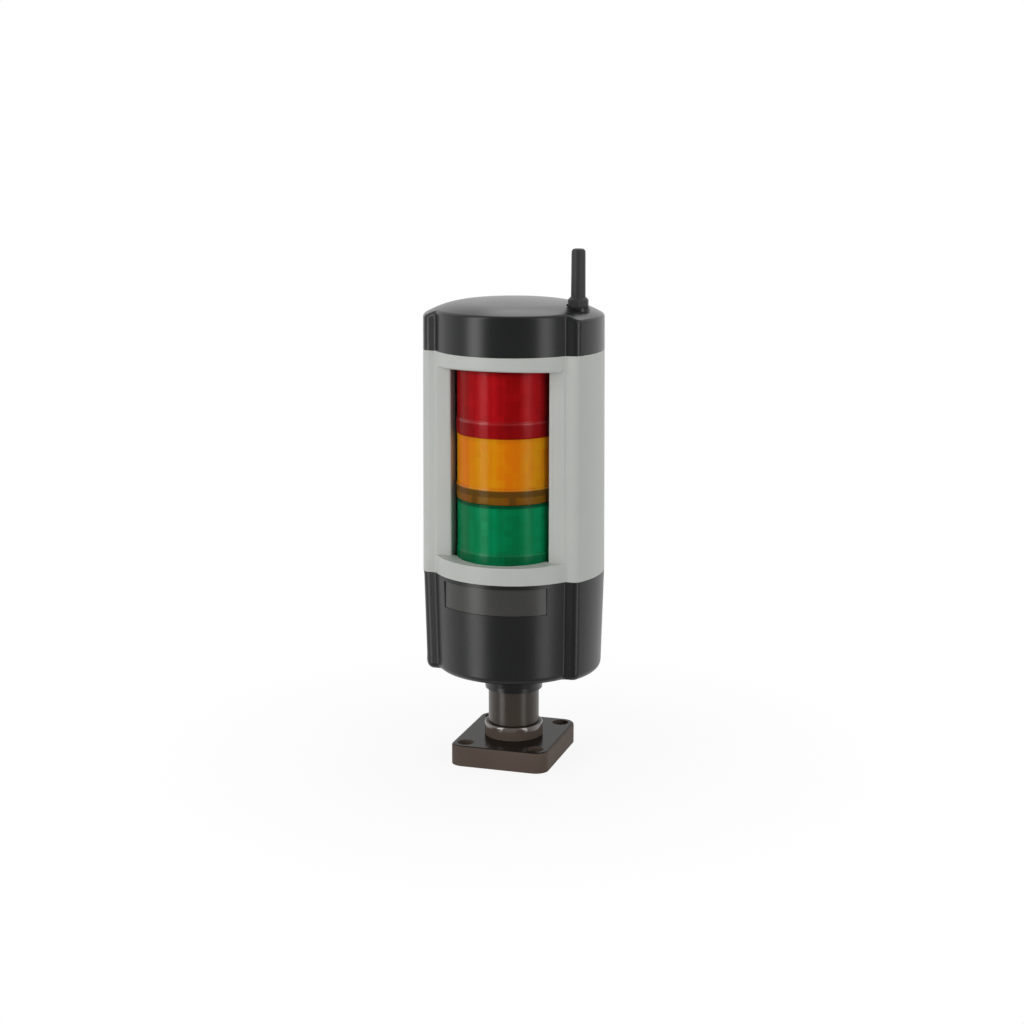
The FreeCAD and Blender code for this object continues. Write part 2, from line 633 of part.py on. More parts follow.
def small_screw(x, y, seat, length, up=1):
    """Pan-head screw whose head rests on `seat`; its shank goes down, or up where `up` is -1."""
    head = sorted((seat, seat + up * BOARD_SCREW_HEAD_HEIGHT))
    shank = sorted((seat, seat - up * length))
    screw = cylinder(BOARD_SCREW_HEAD_RADIUS, *head, x, y).fuse(cylinder(BOARD_SCREW_RADIUS, *shank, x, y))
    slot = BOARD_SCREW_RADIUS / 2
    far = seat + up * BOARD_SCREW_HEAD_HEIGHT
    deep = sorted((far, far - up * BOARD_SCREW_HEAD_HEIGHT / 2))
    for half_x, half_y in ((slot / 2, BOARD_SCREW_RADIUS), (BOARD_SCREW_RADIUS, slot / 2)):
        screw = screw.cut(block(x - half_x, x + half_x, y - half_y, y + half_y, *deep))
    return screw.removeSplitter()


def stack_screws():
    length = PLATE_THICKNESS + BOARD_SCREW_LENGTH - BOARD_SCREW_RADIUS
    return Part.makeCompound([small_screw(x, y, PLATE_TOP, length) for x, y in post_places()])


def lens(bottom):
    top = bottom + MODULE_PITCH
    y = -LENS_AXIS_FORWARD
    shoulder = bottom + LENS_COLLAR_HEIGHT
    dome = cylinder(LENS_RADIUS - LENS_COLLAR_STEP, bottom, top, 0, y)
    dome = dome.makeChamfer(LENS_LIP, level_edges(dome, top))
    collar = cylinder(LENS_RADIUS, bottom, shoulder, 0, y)
    collar = collar.makeChamfer(LENS_LIP, level_edges(collar, bottom))
    collar = collar.makeFillet(LENS_COLLAR_ROUND, level_edges(collar, shoulder))
    body = dome.fuse(collar)
    skirt = cylinder(LENS_INNER_RADIUS, bottom, bottom + LENS_SKIRT, 0, y)
    flats = prism_of(LENS_FACETS, LENS_INNER_RADIUS - LENS_LEDGE, bottom + LENS_SKIRT, top, 0, y)
    return body.cut(skirt).cut(flats).removeSplitter()


def module_ring(bottom):
    y = -LENS_AXIS_FORWARD
    top = bottom + LENS_SKIRT
    disc = tube(WIRE_HOLE_RADIUS, RING_RADIUS, top - RING_DEPTH, top, 0, y)
    legs = tube(RING_RADIUS - RING_WALL, RING_RADIUS, bottom, top, 0, y)
    gaps = tube(RING_RADIUS - 2 * RING_WALL, LENS_RADIUS, bottom, top - RING_DEPTH, 0, y)
    for k in range(RING_LEGS):
        post = block(0, SPAN, -RING_LEG_WIDTH / 2, RING_LEG_WIDTH / 2, bottom, top)
        post.rotate(Vector(0, 0, 0), Vector(0, 0, 1), 360 * (k + 0.5) / RING_LEGS)
        post.translate(Vector(0, y, 0))
        gaps = gaps.cut(post)
    return disc.fuse(legs.cut(gaps)).removeSplitter()


def led_core(bottom):
    y = -LENS_AXIS_FORWARD
    foot = bottom + LENS_SKIRT
    top = bottom + MODULE_PITCH - CORE_TOP_GAP
    column = prism_of(6, CORE_RADIUS, foot, top, 0, y)
    column = column.cut(cylinder(WIRE_HOLE_RADIUS, foot, top, 0, y))
    lights = []
    for row in range(LED_ROWS):
        middle = foot + (top - foot) * (row + 0.5) / LED_ROWS
        for k in range(6):
            light = block(CORE_RADIUS - LED_RISE, CORE_RADIUS + LED_RISE, -LED_SIZE / 2, LED_SIZE / 2,
                          middle - LED_SIZE / 2, middle + LED_SIZE / 2)
            light.rotate(Vector(0, 0, 0), Vector(0, 0, 1), 60 * k)
            light.translate(Vector(0, y, 0))
            lights.append(light)
    return column.multiFuse(lights).removeSplitter()


def stack_cover():
    y = -LENS_AXIS_FORWARD
    lid = cylinder(LENS_RADIUS - LENS_COLLAR_STEP, STACK_TOP, STACK_TOP + COVER_THICKNESS, 0, y)
    lid = lid.makeFillet(COVER_ROUND, level_edges(lid, STACK_TOP + COVER_THICKNESS))
    plug = LENS_INNER_RADIUS - LENS_LEDGE - RING_FIT
    return lid.fuse(tube(plug - RING_WALL, plug, STACK_TOP - COVER_PLUG, STACK_TOP, 0, y)).removeSplitter()


# Electronics
def power_board_level():
    return BASE_FLOOR_TOP + POWER_BOARD_POST


def power_board():
    low = power_board_level()
    x = POWER_BOARD_LENGTH / 2
    y = POWER_BOARD_WIDTH / 2
    board = block(-x, x, POWER_BOARD_BACK - y, POWER_BOARD_BACK + y, low, low + BOARD_THICKNESS)
    hole = BOARD_SCREW_RADIUS + BOARD_SCREW_FIT
    cuts = [cylinder(hole, low, low + BOARD_THICKNESS, *place) for place in power_post_places()]
    cuts.append(cylinder(WIRE_HOLE_RADIUS, low, low + BOARD_THICKNESS))
    return board.cut(Part.makeCompound(cuts))


def board_screws():
    seat = power_board_level() + BOARD_THICKNESS
    length = BOARD_SCREW_LENGTH
    return Part.makeCompound([small_screw(x, y, seat, length) for x, y in power_post_places()])


def terminal_block():
    low = power_board_level() + BOARD_THICKNESS
    back = POWER_BOARD_BACK + POWER_BOARD_WIDTH / 2
    front = back - TERMINAL_WIDTH
    half = TERMINAL_LENGTH / 2
    body = block(-half, half, front, back, low, low + TERMINAL_HEIGHT)
    pitch = TERMINAL_LENGTH / TERMINAL_WAYS
    cuts = []
    for k in range(TERMINAL_WAYS):
        x = -half + pitch * (k + 0.5)
        mouth = Vector(x, front, low + TERMINAL_HOLE_RISE)
        cuts.append(Part.makeCylinder(TERMINAL_HOLE_RADIUS, TERMINAL_HOLE_DEPTH, mouth, Vector(0, 1, 0)))
        top = low + TERMINAL_HEIGHT
        cuts.append(cylinder(TERMINAL_HOLE_RADIUS, top - TERMINAL_SCREW_DEPTH, top, x, (front + back) / 2))
    return body.cut(Part.makeCompound(cuts))


def radio_board_top():
    return antenna_floor() - RADIO_BOSS_DROP


def radio_board():
    top = radio_board_top()
    x = RADIO_BOARD_LENGTH / 2
    y = RADIO_BOARD_WIDTH / 2
    board = block(-x, x, RADIO_BOARD_BACK - y, RADIO_BOARD_BACK + y, top - BOARD_THICKNESS, top)
    hole = BOARD_SCREW_RADIUS + BOARD_SCREW_FIT
    cuts = [cylinder(hole, top - BOARD_THICKNESS, top, *place) for place in radio_boss_places()]
    return board.cut(Part.makeCompound(cuts))


def radio_shield():
    top = radio_board_top() - BOARD_THICKNESS
    x = RADIO_SHIELD_LENGTH / 2
    y = RADIO_SHIELD_WIDTH / 2
    can = block(-x, x, RADIO_BOARD_BACK - y, RADIO_BOARD_BACK + y, top - RADIO_SHIELD_HEIGHT, top)
    return can.makeFillet(RADIO_SHIELD_HEIGHT / 4, upright_edges(can, RADIO_SHIELD_HEIGHT))


def radio_screws():
    seat = radio_board_top() - BOARD_THICKNESS
    length = BOARD_SCREW_LENGTH
    return Part.makeCompound([small_screw(x, y, seat, length, -1) for x, y in radio_boss_places()])


# Antenna: connector in the cap, seal, screwed collar and rod
def antenna_connector():
    flange_low = antenna_floor() - CONNECTOR_FLANGE_HEIGHT
    flange = cylinder(CONNECTOR_FLANGE_RADIUS, flange_low, antenna_floor(), *ANTENNA_AT)
    barrel_top = antenna_seat() + CONNECTOR_RISE
    barrel = cylinder(CONNECTOR_RADIUS, flange_low - CONNECTOR_TAIL, barrel_top, *ANTENNA_AT)
    return flange.fuse(barrel).removeSplitter()


def antenna_seal():
    inner = CONNECTOR_RADIUS + CONNECTOR_FIT
    seat = antenna_seat()
    return tube(inner, ANTENNA_COLLAR_RADIUS, seat, seat + ANTENNA_SEAL_THICKNESS, *ANTENNA_AT)


def antenna_collar():
    bottom = antenna_seat() + ANTENNA_SEAL_THICKNESS
    top = bottom + ANTENNA_COLLAR_HEIGHT
    collar = cylinder(ANTENNA_COLLAR_RADIUS, bottom, top, *ANTENNA_AT)
    collar = collar.makeChamfer(ANTENNA_COLLAR_CHAMFER, level_edges(collar, top))
    flats = ANTENNA_COLLAR_RADIUS * math.cos(math.pi / ANTENNA_COLLAR_FLATS)
    collar = collar.common(prism_of(ANTENNA_COLLAR_FLATS, flats, bottom, top, *ANTENNA_AT))
    socket = cylinder(CONNECTOR_RADIUS + CONNECTOR_FIT, bottom, antenna_seat() + CONNECTOR_RISE, *ANTENNA_AT)
    return collar.cut(socket)


def antenna_stub():
    x, y = ANTENNA_AT
    bottom = antenna_seat() + ANTENNA_SEAL_THICKNESS + ANTENNA_COLLAR_HEIGHT
    rod = Part.makeCone(ANTENNA_ROD_RADIUS, ANTENNA_TIP_RADIUS, ANTENNA_ROD_LENGTH, Vector(x, y, bottom))
    return rod.makeFillet(ANTENNA_TIP_RADIUS / 2, level_edges(rod, bottom + ANTENNA_ROD_LENGTH))


def main():
    os.makedirs("parts", exist_ok=True)
    pieces = {
        "mounting_foot": mounting_foot(), "foot_gasket": foot_gasket(), "foot_set_screw": foot_set_screw(),
        "pole_tube": pole_tube(), "neck_collar": neck_collar(), "grip_ring": grip_ring(),
        "base_housing": base_housing(), "base_gasket": base_gasket(), "window_housing": window_housing(),
        "cap_gasket": cap_gasket(), "cap": cap(), "tie_screws": tie_screws(), "stack_base": stack_base(),
        "stack_screws": stack_screws(), "stack_cover": stack_cover(), "power_board": power_board(),
        "board_screws": board_screws(), "terminal_block": terminal_block(), "radio_board": radio_board(),
        "radio_shield": radio_shield(), "radio_screws": radio_screws(),
        "antenna_connector": antenna_connector(), "antenna_seal": antenna_seal(),
        "antenna_collar": antenna_collar(), "antenna_stub": antenna_stub(),
    }
    for place, colour in enumerate(("green", "amber", "red")):
        bottom = STACK_BOTTOM + place * MODULE_PITCH
        pieces["lens_" + colour] = lens(bottom)
        pieces["module_ring_" + colour] = module_ring(bottom)
        pieces["led_core_" + colour] = led_core(bottom)
    for name, shape in pieces.items():
        print(name, "valid" if shape.isValid() else "NOT VALID", len(shape.Solids), round(shape.Volume, 1))
        shape.exportStep("parts/" + name + ".step")


main()
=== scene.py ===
# %% [markdown]
# # A signal beacon, dressed around its frame
# The beacon is a short stack light: three coloured lenses behind a window in a grey housing, with a black
# base below and a black cap above. A clamp holds it on a pole with a screw-down foot, and a stub antenna
# stands on the cap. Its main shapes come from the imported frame. This lesson adds the rest: finishes, a
# label, the lips round the window, a floor and light.

# %% Load the frame
import math
import bpy
import bmesh
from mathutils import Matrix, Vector


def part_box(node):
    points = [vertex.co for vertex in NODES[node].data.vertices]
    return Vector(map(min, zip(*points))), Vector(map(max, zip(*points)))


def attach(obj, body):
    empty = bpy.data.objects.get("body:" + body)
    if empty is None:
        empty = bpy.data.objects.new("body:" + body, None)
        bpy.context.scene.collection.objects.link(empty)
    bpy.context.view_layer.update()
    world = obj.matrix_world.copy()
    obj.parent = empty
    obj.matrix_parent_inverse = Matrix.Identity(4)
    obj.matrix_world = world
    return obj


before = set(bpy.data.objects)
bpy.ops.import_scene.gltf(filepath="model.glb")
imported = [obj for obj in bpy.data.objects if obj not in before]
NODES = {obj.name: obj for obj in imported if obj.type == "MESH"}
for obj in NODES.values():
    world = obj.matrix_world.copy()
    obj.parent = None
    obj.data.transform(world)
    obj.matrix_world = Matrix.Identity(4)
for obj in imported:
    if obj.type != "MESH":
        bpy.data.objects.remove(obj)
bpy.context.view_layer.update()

MM = 0.001

# %% [markdown]
# ## Groups: effects that several finishes share
# Moulded plastic, paint and rubber all show a fine grain, slow clouds of gloss, and edges that hands have
# polished. Each effect could be drawn again in every material. A node group is built once, has named inputs
# and outputs, and takes its own values wherever it is placed, so one mend reaches every finish.


# %% Helpers that start a group and feed its nodes
def start_group(name, inputs, outputs):
    """A shader group with float inputs (name, value), value outputs, and its two end nodes."""
    group = bpy.data.node_groups.new(name, "ShaderNodeTree")
    for label, value in inputs:
        socket = group.interface.new_socket(label, in_out="INPUT", socket_type="NodeSocketFloat")
        socket.default_value = value
    for label in outputs:
        group.interface.new_socket(label, in_out="OUTPUT", socket_type="NodeSocketFloat")
    entry = group.nodes.new("NodeGroupInput")
    leave = group.nodes.new("NodeGroupOutput")
    return group, entry.outputs, leave.inputs


def feed(tree, socket, value):
    """Give an input a plain number or colour, or link it to another node's output."""
    if isinstance(value, (int, float, tuple)):
        socket.default_value = value
    else:
        tree.links.new(value, socket)


def add_math(tree, operation, *values):
    """One Math node on up to three values."""
    node = tree.nodes.new("ShaderNodeMath")
    node.operation = operation
    for place, value in enumerate(values):
        feed(tree, node.inputs[place], value)
    return node.outputs["Value"]


def add_clamp(tree, value):
    """The value, held between 0 and 1."""
    node = tree.nodes.new("ShaderNodeClamp")
    tree.links.new(value, node.inputs["Value"])
    return node.outputs["Result"]


print("ready to build: groups, maths and clamps")


# %% Helpers for places, noise and soft steps
def object_place(tree, kind="Object"):
    """One output of a Texture Coordinate node; Object is the place on the object, which moves with it."""
    return tree.nodes.new("ShaderNodeTexCoord").outputs[kind]


def object_axes(tree, kind="Object"):
    """X, Y and Z of a point on its object or, with the kind Normal, of the way its surface faces."""
    axes = tree.nodes.new("ShaderNodeSeparateXYZ")
    tree.links.new(object_place(tree, kind), axes.inputs["Vector"])
    return axes.outputs


def add_noise(tree, where, scale, detail, dimensions="3D"):
    """A noise texture. In 1D it runs along a single value, and otherwise through a place."""
    node = tree.nodes.new("ShaderNodeTexNoise")
    node.noise_dimensions = dimensions
    node.inputs["Detail"].default_value = detail
    tree.links.new(where, node.inputs["W" if dimensions == "1D" else "Vector"])
    feed(tree, node.inputs["Scale"], scale)
    return node.outputs["Fac"]


def add_range(tree, value, low, high, at_low, at_high, smooth=True):
    """Carries low to at_low and high to at_high, level beyond them."""
    node = tree.nodes.new("ShaderNodeMapRange")
    node.interpolation_type = "SMOOTHSTEP" if smooth else "LINEAR"
    tree.links.new(value, node.inputs["Value"])
    labels = ("From Min", "From Max", "To Min", "To Max")
    for label, setting in zip(labels, (low, high, at_low, at_high)):
        node.inputs[label].default_value = setting
    return node.outputs["Result"]


def add_ramp(tree, value, from_zero, to_one):
    """A smooth step: 0 at from_zero, 1 at to_one, whichever of them is larger."""
    if from_zero < to_one:
        return add_range(tree, value, from_zero, to_one, 0.0, 1.0)
    return add_range(tree, value, to_one, from_zero, 1.0, 0.0)


print("ready to build: places, noise and soft steps")

# %% Group: moulded grain
FINER_GRAIN = 2.7
FINER_SHARE = 0.4


def build_grain_group():
    """Small bumps in two sizes, and the coarser ones again as a speckle of gloss."""
    group, given, result = start_group(
        "moulded_grain", [("Grain per metre", 1500.0)], ["Height", "Speckle"])
    place = object_place(group)
    coarse = add_noise(group, place, given["Grain per metre"], detail=2.0)
    finer = add_math(group, "MULTIPLY", given["Grain per metre"], FINER_GRAIN)
    fine = add_noise(group, place, finer, detail=1.0)
    group.links.new(add_math(group, "MULTIPLY_ADD", fine, FINER_SHARE, coarse), result["Height"])
    group.links.new(coarse, result["Speckle"])
    return group


GRAIN = build_grain_group()
print("group:", GRAIN.name)

# %% Group: slow clouds of tone and gloss
CLOUD_CONTRAST = 2.2
CLOUD_SHIFT = -0.6


def build_cloud_group():
    """Wide soft patches between 0 and 1."""
    group, given, result = start_group("slow_clouds", [("Clouds per metre", 22.0)], ["Cloud"])
    cloud = add_noise(group, object_place(group), given["Clouds per metre"], detail=3.0)
    lifted = add_math(group, "MULTIPLY_ADD", cloud, CLOUD_CONTRAST, CLOUD_SHIFT)
    group.links.new(add_clamp(group, lifted), result["Cloud"])
    return group


CLOUDS = build_cloud_group()
print("group:", CLOUDS.name)

# %% Group: edges polished by handling
EDGE_WIDTH = 0.6 * MM
EDGE_SAMPLES = 6
EDGE_STRENGTH = 6.0


def build_edge_group():
    """A patchy mask on edges, where a rounded normal turns away from the true one."""
    group, given, result = start_group(
        "polished_edges", [("Width", EDGE_WIDTH), ("Breakup per metre", 260.0)], ["Edge"])
    round_off = group.nodes.new("ShaderNodeBevel")
    round_off.samples = EDGE_SAMPLES
    group.links.new(given["Width"], round_off.inputs["Radius"])
    shape = group.nodes.new("ShaderNodeNewGeometry")
    turn = group.nodes.new("ShaderNodeVectorMath")
    turn.operation = "DOT_PRODUCT"
    group.links.new(round_off.outputs["Normal"], turn.inputs[0])
    group.links.new(shape.outputs["Normal"], turn.inputs[1])
    bent = add_math(group, "SUBTRACT", 1.0, turn.outputs["Value"])
    strong = add_math(group, "MULTIPLY", bent, EDGE_STRENGTH)
    patchy = add_noise(group, object_place(group), given["Breakup per metre"], detail=2.0)
    worn = add_math(group, "MULTIPLY", strong, patchy)
    group.links.new(add_clamp(group, worn), result["Edge"])
    return group


EDGES = build_edge_group()
print("group:", EDGES.name)

# %% [markdown]
# ## Solid finishes
# Housing, cap, base, paint, rubber and metal differ in colour, gloss and grain, not in how they are built.
# Each could be a material of its own making. Here one function lays the three groups under a Principled
# shader: clouds shift the colour a little, grain gives the bump and breaks up the gloss, and edges come out
# lighter and smoother.


# %% Helpers for colours and materials
def colour_of(red, green, blue):
    """sRGB numbers from 0 to 255, as the linear colour that a shader works with."""
    def linear(value):
        part = value / 255
        return part / 12.92 if part <= 0.04045 else ((part + 0.055) / 1.055) ** 2.4
    return (linear(red), linear(green), linear(blue), 1.0)


def new_material(name):
    """A material with its node tree and its Principled shader."""
    material = bpy.data.materials.new(name)
    material.use_nodes = True
    tree = material.node_tree
    return material, tree, tree.nodes["Principled BSDF"]


def place_group(tree, group, **values):
    """Puts a group into a material; an underscore in a value's name stands for a space."""
    node = tree.nodes.new("ShaderNodeGroup")
    node.node_tree = group
    for label, value in values.items():
        node.inputs[label.replace("_", " ")].default_value = value
    return node.outputs


def mix_colours(tree, factor, first, second):
    """The first colour where the factor is 0, the second where it is 1."""
    node = tree.nodes.new("ShaderNodeMix")
    node.data_type = "RGBA"
    tree.links.new(factor, node.inputs["Factor"])
    for label, value in (("A_Color", first), ("B_Color", second)):
        feed(tree, next(s for s in node.inputs if s.identifier == label), value)
    return next(s for s in node.outputs if s.identifier == "Result_Color")


def add_bump(tree, shader, height, strength, depth):
    """Tilts the shader's normal as if the surface rose and fell by depth."""
    bump = tree.nodes.new("ShaderNodeBump")
    bump.inputs["Strength"].default_value = strength
    bump.inputs["Distance"].default_value = depth
    tree.links.new(height, bump.inputs["Height"])
    tree.links.new(bump.outputs["Normal"], shader.inputs["Normal"])


print("a mid grey of 128 is", round(colour_of(128, 128, 128)[0], 3), "as a linear colour")

# %% A function for solid finishes
GRAIN_DEPTH = 0.05 * MM


def solid_finish(name, tones, gloss, grain, bump=0.25, metal=0.0, specular=0.5, edge=EDGE_WIDTH):
    """tones: darker, lighter and edge colour; gloss: smoothest and roughest; grain: bumps per metre."""
    darker, lighter, polished = (colour_of(*tone) for tone in tones)
    smoothest, roughest = gloss
    material, tree, shader = new_material(name)
    grains = place_group(tree, GRAIN, Grain_per_metre=grain)
    clouds = place_group(tree, CLOUDS)
    edges = place_group(tree, EDGES, Width=edge)
    body = mix_colours(tree, clouds["Cloud"], darker, lighter)
    tree.links.new(mix_colours(tree, edges["Edge"], body, polished), shader.inputs["Base Color"])
    half = 0.5 * (roughest - smoothest)
    speckled = add_math(tree, "MULTIPLY_ADD", grains["Speckle"], half, smoothest)
    clouded = add_math(tree, "MULTIPLY_ADD", clouds["Cloud"], half, speckled)
    rubbed = add_math(tree, "MULTIPLY_ADD", edges["Edge"], -half, clouded)
    tree.links.new(rubbed, shader.inputs["Roughness"])
    shader.inputs["Metallic"].default_value = metal
    shader.inputs["Specular IOR Level"].default_value = specular
    add_bump(tree, shader, grains["Height"], bump, GRAIN_DEPTH)
    return material


print("grain is", round(GRAIN_DEPTH / MM, 3), "mm deep")

# %% Housing plastics
FINE_EDGE = 0.3 * MM

FINISH = {}
FINISH["grey_plastic"] = solid_finish(
    "grey_housing_plastic", ((198, 201, 197), (205, 207, 202), (216, 218, 214)),
    gloss=(0.38, 0.52), grain=1900.0)
FINISH["black_plastic"] = solid_finish(
    "black_housing_plastic", ((17, 18, 19), (21, 22, 22), (34, 34, 34)),
    gloss=(0.25, 0.32), grain=2100.0, bump=0.18, edge=FINE_EDGE)
FINISH["inner_plastic"] = solid_finish(
    "dark_inner_plastic", ((38, 38, 40), (46, 46, 47), (70, 70, 70)),
    gloss=(0.42, 0.58), grain=1500.0)
FINISH["led_white"] = solid_finish(
    "white_reflector_plastic", ((222, 222, 216), (232, 232, 228), (240, 240, 238)),
    gloss=(0.35, 0.5), grain=1500.0)
FINISH["terminal_plastic"] = solid_finish(
    "terminal_plastic", ((38, 96, 62), (46, 110, 72), (86, 140, 108)),
    gloss=(0.4, 0.55), grain=1500.0)
print("plastics:", sorted(FINISH))

# %% Paint, rubber and lacquer
FINISH["foot_paint"] = solid_finish(
    "foot_bronze_paint", ((95, 83, 75), (105, 92, 83), (120, 107, 97)),
    gloss=(0.52, 0.64), grain=900.0, bump=0.3, specular=0.08)
FINISH["pole_paint"] = solid_finish(
    "pole_bronze_paint", ((70, 61, 53), (78, 69, 60), (104, 93, 83)),
    gloss=(0.26, 0.36), grain=900.0, bump=0.2, specular=0.4)
FINISH["antenna_rubber"] = solid_finish(
    "antenna_rubber", ((44, 44, 45), (52, 52, 53), (74, 74, 74)),
    gloss=(0.45, 0.6), grain=1300.0)
FINISH["seal_rubber"] = solid_finish(
    "seal_rubber", ((26, 26, 26), (34, 34, 34), (48, 48, 48)),
    gloss=(0.6, 0.75), grain=1100.0)
FINISH["circuit_board"] = solid_finish(
    "circuit_board_lacquer", ((18, 70, 42), (26, 88, 54), (70, 120, 84)),
    gloss=(0.28, 0.4), grain=700.0)
print("finishes so far:", len(FINISH))

# %% Metals
FINISH["screw_steel"] = solid_finish(
    "zinc_screw_steel", ((150, 152, 154), (172, 174, 176), (200, 201, 203)),
    gloss=(0.24, 0.38), grain=2400.0, metal=1.0)
FINISH["shield_tin"] = solid_finish(
    "tinned_shield", ((176, 178, 178), (194, 196, 196), (212, 213, 213)),
    gloss=(0.22, 0.34), grain=1600.0, metal=1.0)
FINISH["connector_brass"] = solid_finish(
    "connector_brass", ((176, 138, 66), (196, 158, 84), (216, 184, 116)),
    gloss=(0.2, 0.32), grain=2000.0, metal=1.0)
print("finishes so far:", len(FINISH))

# %% [markdown]
# ## Rubbed and smooth places, and painted shade, on the foot
# The cast foot is dull at its sides. Its upper face is smooth, so it mirrors the pole, and is darkened as
# painted shade from the head above it. The rim of the socket is rubbed bright. Separate materials on chosen
# faces would show a hard line between them. Masks from the height and from the way a face looks blend
# softly within the one paint.

# %% The socket's polished rim
SOCKET_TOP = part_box("mounting_foot")[1].z
SOCKET_RIM_LOW = SOCKET_TOP - 3.4 * MM
SOCKET_RIM_HIGH = SOCKET_TOP - 0.4 * MM
SOCKET_RIM_FADE = 0.4 * MM
SOCKET_RIM_COAT = 0.9
SOCKET_COAT_ROUGHNESS = 0.12
SOCKET_COAT_IOR = 2.2


def polish_rim(material, low, high):
    """A glossy coat between two heights."""
    tree = material.node_tree
    shader = tree.nodes["Principled BSDF"]
    level = object_axes(tree)["Z"]
    above = add_ramp(tree, level, low - SOCKET_RIM_FADE, low + SOCKET_RIM_FADE)
    below = add_ramp(tree, level, high + SOCKET_RIM_FADE, high - SOCKET_RIM_FADE)
    band = add_math(tree, "MULTIPLY", above, below)
    tree.links.new(add_math(tree, "MULTIPLY", band, SOCKET_RIM_COAT), shader.inputs["Coat Weight"])
    shader.inputs["Coat Roughness"].default_value = SOCKET_COAT_ROUGHNESS
    shader.inputs["Coat IOR"].default_value = SOCKET_COAT_IOR


polish_rim(FINISH["foot_paint"], SOCKET_RIM_LOW, SOCKET_RIM_HIGH)
print("polished rim from", round(SOCKET_RIM_LOW, 4), "to", round(SOCKET_RIM_HIGH, 4))

# %% The foot's smooth top, with painted shade
TOP_STARTS = 0.6
TOP_FULL = 0.95
# painted shade: the colour of the foot's upper face in the head's shadow
TOP_PAINTED_SHADE = (40, 34, 29)
TOP_SMOOTHER = 0.41


def smooth_top_painted_shade(material):
    """Less roughness on faces that look up, which mirror what stands on them,
    and a darker tone there as painted shade from the head above.
    """
    tree = material.node_tree
    shader = tree.nodes["Principled BSDF"]
    upward = add_ramp(tree, object_axes(tree, "Normal")["Z"], TOP_STARTS, TOP_FULL)
    painted = shader.inputs["Base Color"].links[0].from_socket
    # painted shade: upper faces take the darker tone as if the head shadowed them
    shade_painted = mix_colours(tree, upward, painted, colour_of(*TOP_PAINTED_SHADE))
    tree.links.new(shade_painted, shader.inputs["Base Color"])
    cast = shader.inputs["Roughness"].links[0].from_socket
    smoothed = add_math(tree, "MULTIPLY_ADD", upward, -TOP_SMOOTHER, cast)
    tree.links.new(smoothed, shader.inputs["Roughness"])


smooth_top_painted_shade(FINISH["foot_paint"])
print("smooth top:", FINISH["foot_paint"].name)

# %% [markdown]
# ## Lens plastic
# Each lens is clear coloured plastic with upright flutes inside, so it shows soft vertical stripes and a
# hint of the white column behind it. Wide bright bands among the stripes are painted light, for the soft
# boxes' glow in the plastic, and the dark ring behind the lens's foot and the darker sides and top are
# painted shade. It could be pure glass, but inside a dark housing that goes nearly black. Most of the
# light therefore scatters in the plastic's own colour, and the rest passes through. The stripes, the ring
# and the shaded places are masks in one group that all three lenses share.

# %% Turns and heights on a lens
LENS_FORWARD = 12.0 * MM
FULL_TURN = 2 * math.pi
BLUR = 0.5 * MM


def lens_turn(tree, axes):
    """Angle round the lens's own axis, which stands ahead of the pole's; 0 at the front."""
    forward = add_math(tree, "ADD", axes["Y"], LENS_FORWARD)
    ahead = add_math(tree, "MULTIPLY", forward, -1.0)
    return add_math(tree, "ARCTAN2", axes["X"], ahead)


def under(tree, value, limit):
    """1 under the limit and 0 over it, with a soft step."""
    return add_ramp(tree, value, limit + BLUR, limit - BLUR)


def near(tree, value, middle, half):
    """1 within half of the middle, with soft ends."""
    apart = add_math(tree, "ABSOLUTE", add_math(tree, "SUBTRACT", value, middle))
    return under(tree, apart, half)


print("lens axis is", LENS_FORWARD, "m ahead of the pole's")

# %% Stripes of flutes, painted light bands and prisms
FLUTES = 40
STRIPES_PER_FLUTE = 1.1
STRIPE_SHARE = 0.9
# painted light: six wide bright bands round the lens, for the soft boxes' glow in the plastic
PAINTED_LIGHT_BANDS = 6
PAINTED_LIGHT_TURN = math.radians(60)
PAINTED_LIGHT_SHARE = 0.34
PAINTED_LIGHT_SHIFT = -0.1
PRISM_HEIGHT = 4.2 * MM
PRISM_SCATTER = 0.8
PRISM_SHARE = 0.7


def prism_tone(tree, count, level):
    """One even tone for each prism: a cell of one flute's width and one prism's height."""
    corner = tree.nodes.new("ShaderNodeCombineXYZ")
    storey = add_math(tree, "MULTIPLY", level, 1.0 / PRISM_HEIGHT)
    tree.links.new(add_math(tree, "ROUND", count), corner.inputs["X"])
    tree.links.new(add_math(tree, "ROUND", storey), corner.inputs["Y"])
    return add_noise(tree, corner.outputs["Vector"], PRISM_SCATTER, detail=1.0, dimensions="2D")


def stripe_tone(tree, turn, count, level):
    """Narrow stripes by the flutes, wide bands of painted light for the soft boxes' glow,
    and a little scatter by the prisms.
    """
    stripe = add_noise(tree, count, STRIPES_PER_FLUTE, detail=2.0, dimensions="1D")
    light_swell = add_math(tree, "COSINE", add_math(tree, "MULTIPLY_ADD", turn, PAINTED_LIGHT_BANDS, PAINTED_LIGHT_TURN))
    wide = add_math(tree, "MULTIPLY_ADD", light_swell, PAINTED_LIGHT_SHARE, PAINTED_LIGHT_SHIFT)
    upright = add_math(tree, "MULTIPLY_ADD", stripe, STRIPE_SHARE, wide)
    prisms = prism_tone(tree, count, level)
    scatter = add_math(tree, "MULTIPLY_ADD", prisms, PRISM_SHARE, -PRISM_SHARE / 2)
    return add_clamp(tree, add_math(tree, "ADD", upright, scatter))


print("one flute covers", 360 / FLUTES, "degrees")

# %% The ring's painted shade
RING_DISC_MIDDLE = 6.2 * MM
RING_DISC_HALF = 2.1 * MM
RING_LEGS = 8
RING_LEG_HALF = 0.09
RING_LEG_BLUR = 0.05
RING_BETWEEN_LEGS = 0.84


